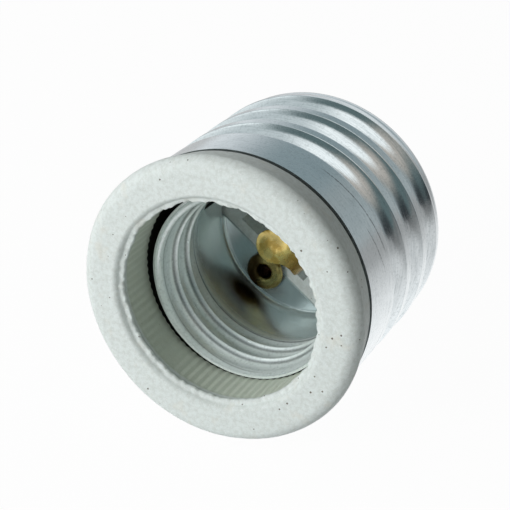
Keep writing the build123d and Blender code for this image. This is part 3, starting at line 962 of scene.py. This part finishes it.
# inner screw shell that takes the lamp
innerShell = {
    "root": 13.25,
    "pitch": innerThread["pitch"],
    "crestArc": 0.15,  # crests point at the axis
    "arcs": 2.05,  # crest and root radius together
    "sheet": 0.4,
    "rim": 7.7,
    "rimEdge": 0.05,
    "rimRows": (0.0, 0.08, 0.24),
    "flare": 0.35,
    "flareLength": 1.2,
    "threadFull": 9.3,
    "fadeStart": 16.6,
    "threadEnd": 18.7,
    "plainRows": (0.5, 1.0, 14),  # behind the thread's end: close rows stop, wide rows start, their number
    "floorTop": 27.9,
    "round": 0.8,
    "roundRows": 9,
    "floorRows": 4,
    "crestDepth": 11.2,
    "crestAngle": 138.7,
    "steps": 288,
    "spacing": 0.08,
    "backSpacing": 0.2,
    "floorHole": 7.1,
    "slot": (24.7, 16.0, 1.6),
    "slotSink": 0.2,
    "eyeletHole": 1.4,
    "eyeletCut": (0.6, 1.0),  # in front of the floor and behind it
    "window": (5.0, 5.06, 3.6),  # through the wall, round it and along it
    "windowMiddle": 22.6,
    "windowAngle": 208.0,
    "bulge": (0.22, 33.0, 0.025),
    "bulgeStretch": (1.0, 0.4, 1.0),
    "bulgeEnd": (-1.0, 1.5),
}


def innerSkin(skin, angles, spacing):
    size = innerShell
    cornerStart = size["floorTop"] - size["round"]
    bend = size["round"] + skin
    closeEnd, plainStart, plainRows = size["plainRows"]
    rimRows = [size["rim"] + step for step in size["rimRows"]]
    depths = rimRows[:-1] + list(np.arange(rimRows[-1], size["threadEnd"] + closeEnd, spacing))
    depths += list(np.linspace(size["threadEnd"] + plainStart, cornerStart, plainRows))[:-1]
    depths += list(cornerStart + bend * np.sin(np.radians(np.linspace(0, 90, size["roundRows"]))))
    depth = np.array(depths)[:, None]
    along = alongThread(size, depth, angles[None, :])
    crestArc = size["crestArc"] + skin
    rootArc = size["arcs"] - crestArc
    height = threadDepth(np.array(size["pitch"] / 2), size["pitch"], 0.0, crestArc, rootArc)
    dip = threadDepth(along, size["pitch"], 0.0, crestArc, rootArc)
    share = threadShare(depth, size["rim"], size["threadFull"], size["fadeStart"], size["threadEnd"])
    flare = size["flare"] * (1 - smoothStep(depth, size["rim"], size["rim"] + size["flareLength"]))
    inward = cornerInset(depth, cornerStart, bend)
    radius = size["root"] + skin + flare - share * (height - dip) - inward
    radius[0] += size["rimEdge"] if skin == 0 else -size["rimEdge"]
    rings = turnedPoints(radius, depth, angles[None, :])
    level = size["floorTop"] + skin
    floor = flatRings(radius[-1].mean(), size["floorHole"], level, size["floorRows"], angles)
    return np.concatenate([rings, floor])


angles = roundSteps(innerShell["steps"])
skinIn = innerSkin(0.0, angles, innerShell["spacing"])
skinOut = innerSkin(innerShell["sheet"], angles, innerShell["backSpacing"])
points = bulged(np.concatenate([skinIn, skinOut[::-1]]), innerShell, innerShell["floorTop"])
lean = pointAt(innerThread["lean"])
innerScrewShell = gridObject("innerScrewShell", points + lean, innerAluminium)
slotMiddle = lean + back * (innerShell["floorTop"] + innerShell["slotSink"])
carve(innerScrewShell, boxCutter(slotMiddle, leafDirection, innerShell["slot"]))
windowTurn = math.radians(innerShell["windowAngle"])
windowWay = (math.cos(windowTurn), -math.sin(windowTurn))
windowMiddle = lean + back * innerShell["windowMiddle"] + pointAt(windowWay) * innerShell["root"]
carve(innerScrewShell, boxCutter(windowMiddle, windowWay, innerShell["window"]))
eyeletHoles(innerScrewShell, innerShell, eyelet["floor"], eyelet["floor"])
shade(innerScrewShell, 50)
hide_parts("inner_screw_shell")
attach(innerScrewShell, "adapter")
print("inner screw shell:", len(innerScrewShell.data.polygons), "faces")


# hollow brass eyelets with rolled heads
def eyeletPiece(name, node, spot, seed):
    size = eyelet
    half = (size["floor"] - size["headTop"]) / 2
    headMiddle = (size["head"] - half, size["headTop"] + half)
    headRound, clinchRound = size["headRound"], size["clinchRound"]
    clinchHalf = (size["clinchEnd"] - size["flange"]) / 2
    clinchMiddle = (size["clinch"] - clinchHalf, size["flange"] + clinchHalf)
    line = arc((size["bore"] + headRound, size["headTop"] + headRound), headRound, 180, 270, 7)
    line += [(size["bore"] + size["headRing"][0], size["headTop"] + size["headRing"][1])]
    line += arc(headMiddle, half, -90, 90, 11)
    line += [(size["tube"] + size["underHead"][0], size["floor"])]
    line += [(size["tube"], size["floor"] + size["underHead"][1])]
    line += run(line[-1], (size["tube"], size["flange"] - size["underClinch"][1]), size["rows"])
    line += [(size["tube"] + size["underClinch"][0], size["flange"])]
    line += arc(clinchMiddle, clinchHalf, -90, 90, 9)
    line += arc((size["bore"] + clinchRound, size["clinchEnd"] - clinchRound), clinchRound, 90, 180, 5)
    line += run(line[-1], (size["bore"], size["headTop"] + size["boreTop"]), size["rows"])[:-1]
    rings = turnedLine(line, size["steps"])
    points = rings.reshape(-1, 3)
    reach = np.linalg.norm(points[:, 0::2], axis=1)
    scale, height = size["uneven"]
    uneven = unevenness(points, (scale, seed, height)) * smoothStep(reach, *size["unevenFrom"])
    points[:, 0::2] *= (1 + uneven / reach)[:, None]
    points += pointAt(spot)
    piece = gridObject(name, points.reshape(rings.shape), eyeletBrass)
    shade(piece, 60)
    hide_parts(node)
    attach(piece, "adapter")


eyeletPiece("nearEyelet", "shell_eyelet_near", eyelet["spots"][0], 41.0)
eyeletPiece("farEyelet", "shell_eyelet_far", eyelet["spots"][1], 47.0)
print("eyelets done")

# contact strip: foot, root bend, rising leg, upper bend and domed round tip, one folded piece
strip = {
    "thick": 0.45,
    "neckHalf": 1.4,
    "footHalf": 3.2,
    "widening": (20.1, 23.3),  # depths between which the leaf widens to the leg
    "footEnd": 4.6,
    "footMiddle": 30.575,
    "rootBend": (-3.481, 29.45, 1.125),  # towards the tip, depth, radius
    "upperBend": (0.2, 23.8, 4.3),
    "turn": 95.0,
    "plateMiddle": 19.5,
    "plateEnd": 0.03,
    "tip": 0.8,
    "tipRadius": 2.62,
    "tipSweep": (88, -12, 30),  # degrees from the tip's end, and steps
    "tipBlend": 6,  # how tightly the round tip joins the neck
    "dome": (2.1, 0.25, 1.5),  # radius, height, steepness
    "edge": 0.12,
    "edgeTurns": (0.52, 1.05, 1.57),
    "edgeLimit": 0.8,  # of the half width, at the tip's end
    "flatSteps": 15,
    "bendSteps": 14,
    "footSteps": 10,
    "rivetHole": 1.65,
    "rivetCut": 1.0,
    "bending": (30.3, 28.4),  # depths between which the strip bends
}


def stripPath():
    stations = []  # distance along the strip from the axis, towards the tip, depth, normal
    steps = strip["bendSteps"]
    ends = strip["tip"] + strip["tipRadius"] * np.sin(np.radians(np.linspace(*strip["tipSweep"])))
    plateEnd = strip["upperBend"][0] + strip["plateEnd"]
    stations += [(ahead, ahead, strip["plateMiddle"], 0.0, -1.0) for ahead in ends if ahead > plateEnd]
    length = strip["upperBend"][0]
    bends = ((strip["upperBend"], strip["turn"], 180.0), (strip["rootBend"], 0.0, strip["turn"]))
    for bend, start, end in bends:
        across, depth, radius = bend
        for angle in np.linspace(end, start, steps):
            turn = math.radians(angle + 90)
            way = (math.cos(turn), math.sin(turn))
            place = (across + radius * way[0], depth + radius * way[1])
            behind = length - math.radians(end - angle) * radius
            stations.append((behind, *place, *way))
        length = stations[-1][0]
        if bend is strip["upperBend"]:
            legTop = np.array(stations[-1])
            root = strip["rootBend"]
            legFoot = legTop.copy()
            legFoot[1:3] = [root[0] + root[2] * legTop[3], root[1] + root[2] * legTop[4]]
            legFoot[0] = legTop[0] - math.dist(legTop[1:3], legFoot[1:3])
            stations += [tuple(legTop + (legFoot - legTop) * step / steps) for step in range(1, steps)]
            length = legFoot[0]
    foot = np.linspace(strip["rootBend"][0], strip["footEnd"], strip["footSteps"])[1:]
    for step, ahead in enumerate(foot):  # lengths far from the tip, so the foot keeps its full width
        stations.append((length - 1.0 - step, ahead, strip["footMiddle"], 0.0, 1.0))
    return stations


def stripSection(half):
    edge = min(strip["edge"], half * strip["edgeLimit"])
    rise = strip["thick"] / 2
    flat = np.linspace(-(half - edge), half - edge, strip["flatSteps"])
    side = []  # one rounded corner, mirrored to the other three
    for turn in strip["edgeTurns"]:
        side.append((half - edge + edge * math.sin(turn), rise - edge + edge * math.cos(turn)))
    section = [(aside, rise) for aside in flat]
    section += side + [(aside, -lift) for aside, lift in side[::-1]]
    section += [(aside, -rise) for aside in flat[::-1]]
    section += [(-aside, -lift) for aside, lift in side] + [(-aside, lift) for aside, lift in side[::-1]]
    return section


loops = []
domeRadius, domeHeight, domeSteepness = strip["dome"]
for length, ahead, depth, normalAlong, normalBack in stripPath():
    reach = length - strip["tip"]
    tipHalf = math.sqrt(max(strip["tipRadius"] ** 2 - reach**2, 0.0))
    widening = float(smoothStep(depth, *strip["widening"]))
    neckHalf = strip["neckHalf"] + (strip["footHalf"] - strip["neckHalf"]) * widening
    blend = strip["tipBlend"]
    half = tipHalf if reach > 0 else (tipHalf**blend + neckHalf**blend) ** (1 / blend)
    loop = []
    for aside, lift in stripSection(half):
        away = math.hypot(reach, aside) / domeRadius
        lift += domeHeight * max(1 - away * away, 0.0) ** domeSteepness
        point = along * (ahead + normalAlong * lift) + across * aside
        loop.append(point + back * (depth + normalBack * lift))
    loops.append(loop)
loops = np.array(loops)
rings, steps = loops.shape[:2]
mesh = bpy.data.meshes.new("contactStrip")
index = np.arange(rings * steps).reshape(rings, steps).tolist()
faces = [
    (index[i][j], index[i][(j + 1) % steps], index[i + 1][(j + 1) % steps], index[i + 1][j])
    for i in range(rings - 1)
    for j in range(steps)
]
faces += [tuple(index[0]), tuple(index[-1][::-1])]
mesh.from_pydata((loops.reshape(-1, 3) * mm).tolist(), [], faces)
contactStrip = settle("contactStrip", mesh, contactBrass)
start, end = strip["footMiddle"] - strip["rivetCut"], strip["footMiddle"] + strip["rivetCut"]
carve(contactStrip, cylinderCutter((0.0, 0.0), strip["rivetHole"], start, end))
shade(contactStrip, 45)
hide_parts("contact_leaf", "contact_foot")
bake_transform(contactStrip)
print("contact strip:", len(contactStrip.data.polygons), "faces")

# centre rivet and rear contact disc
rivet = {
    "axis": 0.02,  # the line starts and ends this close to the axis
    "shank": 1.5,
    "head": 2.6,
    "headTop": 29.45,
    "headRing": (1.0, 0.01),
    "foot": 30.35,
    "disc": 43.2,
    "tip": 3.6,
    "tipEdge": 0.08,
    "tipRings": (2.2, 1.2),
    "end": 44.8,
    "round": 0.5,
    "rows": 2.0,
    "steps": 96,
}
line = [(rivet["axis"], rivet["headTop"]), (rivet["headRing"][0], rivet["headTop"] + rivet["headRing"][1])]
line += arc((rivet["head"] - rivet["round"], rivet["headTop"] + rivet["round"]), rivet["round"], -90, 0, 7)
line += [(rivet["head"], rivet["foot"]), (rivet["shank"], rivet["foot"])]
line += run(line[-1], (rivet["shank"], rivet["disc"]), rivet["rows"])
line += [(rivet["tip"] - rivet["tipEdge"], rivet["disc"]), (rivet["tip"], rivet["disc"] + rivet["tipEdge"])]
line += arc((rivet["tip"] - rivet["round"], rivet["end"] - rivet["round"]), rivet["round"], 0, 90, 8)
line += [(reach, rivet["end"]) for reach in (*rivet["tipRings"], rivet["axis"])]
centreRivet = gridObject("centreRivet", turnedLine(line, rivet["steps"]), contactBrass)
shade(centreRivet, 45)
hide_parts("centre_rivet")
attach(centreRivet, "adapter")

disc = {
    "hole": 1.65,
    "radius": 6.0,
    "start": 42.4,
    "end": 43.2,
    "edge": 0.1,
    "round": 0.3,
    "ring": 4.9,
    "ringHalf": 0.25,
    "ringDepth": 0.07,
    "rows": (1.5, 1.0),
    "steps": 96,
}
line = [(disc["hole"], disc["start"])]
line += run(line[-1], (disc["radius"] - disc["edge"], disc["start"]), disc["rows"][0])
line += [(disc["radius"], disc["start"] + disc["edge"])]
line += arc((disc["radius"] - disc["round"], disc["end"] - disc["round"]), disc["round"], 0, 90, 7)
line += [(disc["ring"] + disc["ringHalf"], disc["end"]), (disc["ring"], disc["end"] - disc["ringDepth"])]
line += [(disc["ring"] - disc["ringHalf"], disc["end"])]
line += run(line[-1], (disc["hole"], disc["end"]), disc["rows"][1])
rearContact = gridObject("rearContact", turnedLine(line, disc["steps"]), contactBrass)
shade(rearContact, 35)
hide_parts("rear_contact")
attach(rearContact, "adapter")
print("rivet and rear contact done")

# stage: pale floor that carries collar and shell, white to the camera and graded where the metal mirrors it
stage = {
    "front": (2.0, -20.5),  # mm, where the collar rests: depth and height
    "rear": (27.0, -19.55),
    "reach": 3.0,  # metres
    "paint": (0.86, 0.87, 0.88, 1),
    "glow": (1, 1, 1, 1),
    "besideFade": (0.015, 0.05, 1.17, 0.76),  # metres to the right, and how bright the metal shows it
    "farFade": (0.05, 0.19, 1.0, 0.5),
    "frontFade": (-0.05, 0.01, 0.45, 1.0),
    "cameraShare": 0.97,
    "metalShare": 0.85,
}
slope = (stage["rear"][1] - stage["front"][1]) / (stage["rear"][0] - stage["front"][0])
level = (stage["front"][1] - slope * stage["front"][0]) * mm
floorEnds = [(x * stage["reach"], y * stage["reach"]) for x, y in ((-1, -1), (1, -1), (1, 1), (-1, 1))]
floorMesh = bpy.data.meshes.new("floor")
floorMesh.from_pydata([(x, y, level + slope * y) for x, y in floorEnds], [], [(0, 1, 2, 3)])
floor = bpy.data.objects.new("floor", floorMesh)
scene.collection.objects.link(floor)
floorPaint = bpy.data.materials.new("floorPaint")
floorPaint.use_nodes = True
tree = floorPaint.node_tree
tree.nodes.clear()
paint = addNode(tree, "ShaderNodeBsdfDiffuse")
paint.inputs["Color"].default_value = stage["paint"]
glow = addNode(tree, "ShaderNodeEmission")
glow.inputs["Color"].default_value = stage["glow"]
path = addNode(tree, "ShaderNodeLightPath")
toCamera, toMetal = path.outputs["Is Camera Ray"], path.outputs["Is Glossy Ray"]
coords = addNode(tree, "ShaderNodeTexCoord").outputs["Object"]
right, depth = splitVector(tree, coords)[:2]
away = addNode(tree, "ShaderNodeVectorMath", operation="LENGTH")
tree.links.new(coords, away.inputs[0])
mirrored = bandMask(
    tree, (right, stage["besideFade"]), (away.outputs["Value"], stage["farFade"]), (depth, stage["frontFade"])
)
mirrored = mathNode(tree, "MULTIPLY", toMetal, mirrored)
tree.links.new(mathNode(tree, "MAXIMUM", toCamera, mirrored), glow.inputs["Strength"])
cameraShare = mathNode(tree, "MULTIPLY", toCamera, stage["cameraShare"])
metalShare = mathNode(tree, "MULTIPLY", toMetal, stage["metalShare"])
floorShader = addNode(tree, "ShaderNodeMixShader")
tree.links.new(mathNode(tree, "MAXIMUM", cameraShare, metalShare), floorShader.inputs[0])
tree.links.new(paint.outputs[0], floorShader.inputs[1])
tree.links.new(glow.outputs[0], floorShader.inputs[2])
tree.links.new(floorShader.outputs[0], addNode(tree, "ShaderNodeOutputMaterial").inputs[0])
floor.data.materials.append(floorPaint)

# room that the metal mirrors, by direction: fades run over the parts of a unit direction
room = {
    "white": (1.0, 1.0, 1.0, 1),
    "fill": (0.15, 0.157, 0.147, 1),
    "backLowLeft": (0.74, 0.77, 0.79, 1),
    "backLowRight": (0.37, 0.41, 0.42, 1),
    "backHighLeft": (0.43, 0.47, 0.49, 1),
    "backHighRight": (0.21, 0.27, 0.29, 1),
    "leftLow": (0.86, 0.90, 0.90, 1),
    "leftHigh": (0.57, 0.62, 0.63, 1),
    "front": (0.105, 0.15, 0.155, 1),
    "dark": (0.03, 0.036, 0.04, 1),
    "warm": (0.48, 0.44, 0.40, 1),
    "overheadLeft": (0.56, 0.61, 0.62, 1),
    "overheadRight": (0.97, 1.0, 1.0, 1),
    "window": (1.15, 1.2, 1.2, 1),
    "backLowFade": (-0.15, 0.45),  # to the right
    "backHighFade": (-0.55, -0.15),
    "backUp": (0.09, 0.55),
    "leftUp": (0.3, 0.7),
    "frontFade": (-0.5, -0.2),
    "frontBack": (0.4, 0.05),
    "darkRight": (0.78, 0.97),
    "darkUp": (0.5, 0.1),
    "warmRight": (0.2, 0.6),
    "warmUp": (0.25, 0.6),
    "overheadFade": (-0.25, 0.15),
    "overheadUp": (0.62, 0.8),
    "overheadLean": (0.5, 0.4),  # the ceiling starts higher in front, less so to the right
    "windowWay": (-0.5, -0.82, 0.28),
    "windowFade": (0.955, 0.985),
}
world = bpy.data.worlds.new("studio")
scene.world = world
world.use_nodes = True
tree = world.node_tree
tree.nodes.clear()
direction = addNode(tree, "ShaderNodeTexCoord").outputs["Generated"]
toRight, toBack, up = splitVector(tree, direction)
backLow = fadeColour(tree, toRight, room["backLowFade"], room["backLowLeft"], room["backLowRight"])
backHigh = fadeColour(tree, toRight, room["backHighFade"], room["backHighLeft"], room["backHighRight"])
colour = fadeColour(tree, up, room["backUp"], backLow, backHigh)
left = fadeColour(tree, up, room["leftUp"], room["leftLow"], room["leftHigh"])
front = fadeColour(tree, toRight, room["frontFade"], left, room["front"])
colour = fadeColour(tree, toBack, room["frontBack"], colour, front)
shadedSide = bandMask(tree, (toRight, room["darkRight"]), (up, room["darkUp"]))
colour = mixColour(tree, shadedSide, colour, room["dark"])
warmSide = bandMask(tree, (toRight, room["warmRight"]), (up, room["warmUp"]))
colour = mixColour(tree, warmSide, colour, room["warm"])
rightLean, frontLean = room["overheadLean"]
height = mathNode(tree, "MULTIPLY", mathNode(tree, "MAXIMUM", toRight, 0.0), rightLean)
height = mathNode(tree, "MINIMUM", mathNode(tree, "ADD", height, toBack), 0.0)
height = mathNode(tree, "ADD", mathNode(tree, "MULTIPLY", height, frontLean), up)
overhead = fadeColour(tree, toRight, room["overheadFade"], room["overheadLeft"], room["overheadRight"])
colour = fadeColour(tree, height, room["overheadUp"], colour, overhead)
towardsWindow = addNode(tree, "ShaderNodeVectorMath", operation="DOT_PRODUCT")
tree.links.new(direction, towardsWindow.inputs[0])
towardsWindow.inputs[1].default_value = room["windowWay"]
inWindow = rangeNode(tree, towardsWindow.outputs["Value"], *room["windowFade"])
colour = mixColour(tree, inWindow, colour, room["window"])
path = addNode(tree, "ShaderNodeLightPath")
mirroredRoom = addNode(tree, "ShaderNodeBackground")
tree.links.new(colour, mirroredRoom.inputs["Color"])
fillRoom = addNode(tree, "ShaderNodeBackground")
fillRoom.inputs["Color"].default_value = room["fill"]
whiteRoom = addNode(tree, "ShaderNodeBackground")
whiteRoom.inputs["Color"].default_value = room["white"]
shown = fillRoom.outputs[0]
for ray, seen in (("Is Glossy Ray", mirroredRoom), ("Is Camera Ray", whiteRoom)):
    choice = addNode(tree, "ShaderNodeMixShader")
    tree.links.new(path.outputs[ray], choice.inputs[0])
    tree.links.new(shown, choice.inputs[1])
    tree.links.new(seen.outputs[0], choice.inputs[2])
    shown = choice.outputs[0]
tree.links.new(shown, addNode(tree, "ShaderNodeOutputWorld").inputs[0])

# soft lamps, in metres and watts, that the metal doesn't mirror
lamps = {
    "overhead": {
        "place": (-0.28, 0.0, 0.32),
        "target": (0, 0.02, 0),
        "size": (0.4, 0.3),
        "power": 0.35,
        "colour": (1.0, 1.0, 1.0),
    },
    "front": {
        "place": (-0.22, -0.45, 0.2),
        "target": (0, 0, 0),
        "size": (0.3, 0.26),
        "power": 2.05,
        "colour": (1.0, 1.0, 0.99),
    },
}
for name, lamp in lamps.items():
    lampData = bpy.data.lights.new(name, "AREA")
    lampData.shape = "RECTANGLE"
    lampData.size, lampData.size_y = lamp["size"]
    lampData.energy = lamp["power"]
    lampData.color = lamp["colour"]
    light = bpy.data.objects.new(name, lampData)
    scene.collection.objects.link(light)
    light.location = lamp["place"]
    aim = Vector(lamp["target"]) - Vector(lamp["place"])
    light.rotation_euler = aim.to_track_quat("-Z", "Y").to_euler()
    light.visible_glossy = False
print("stage and light set")
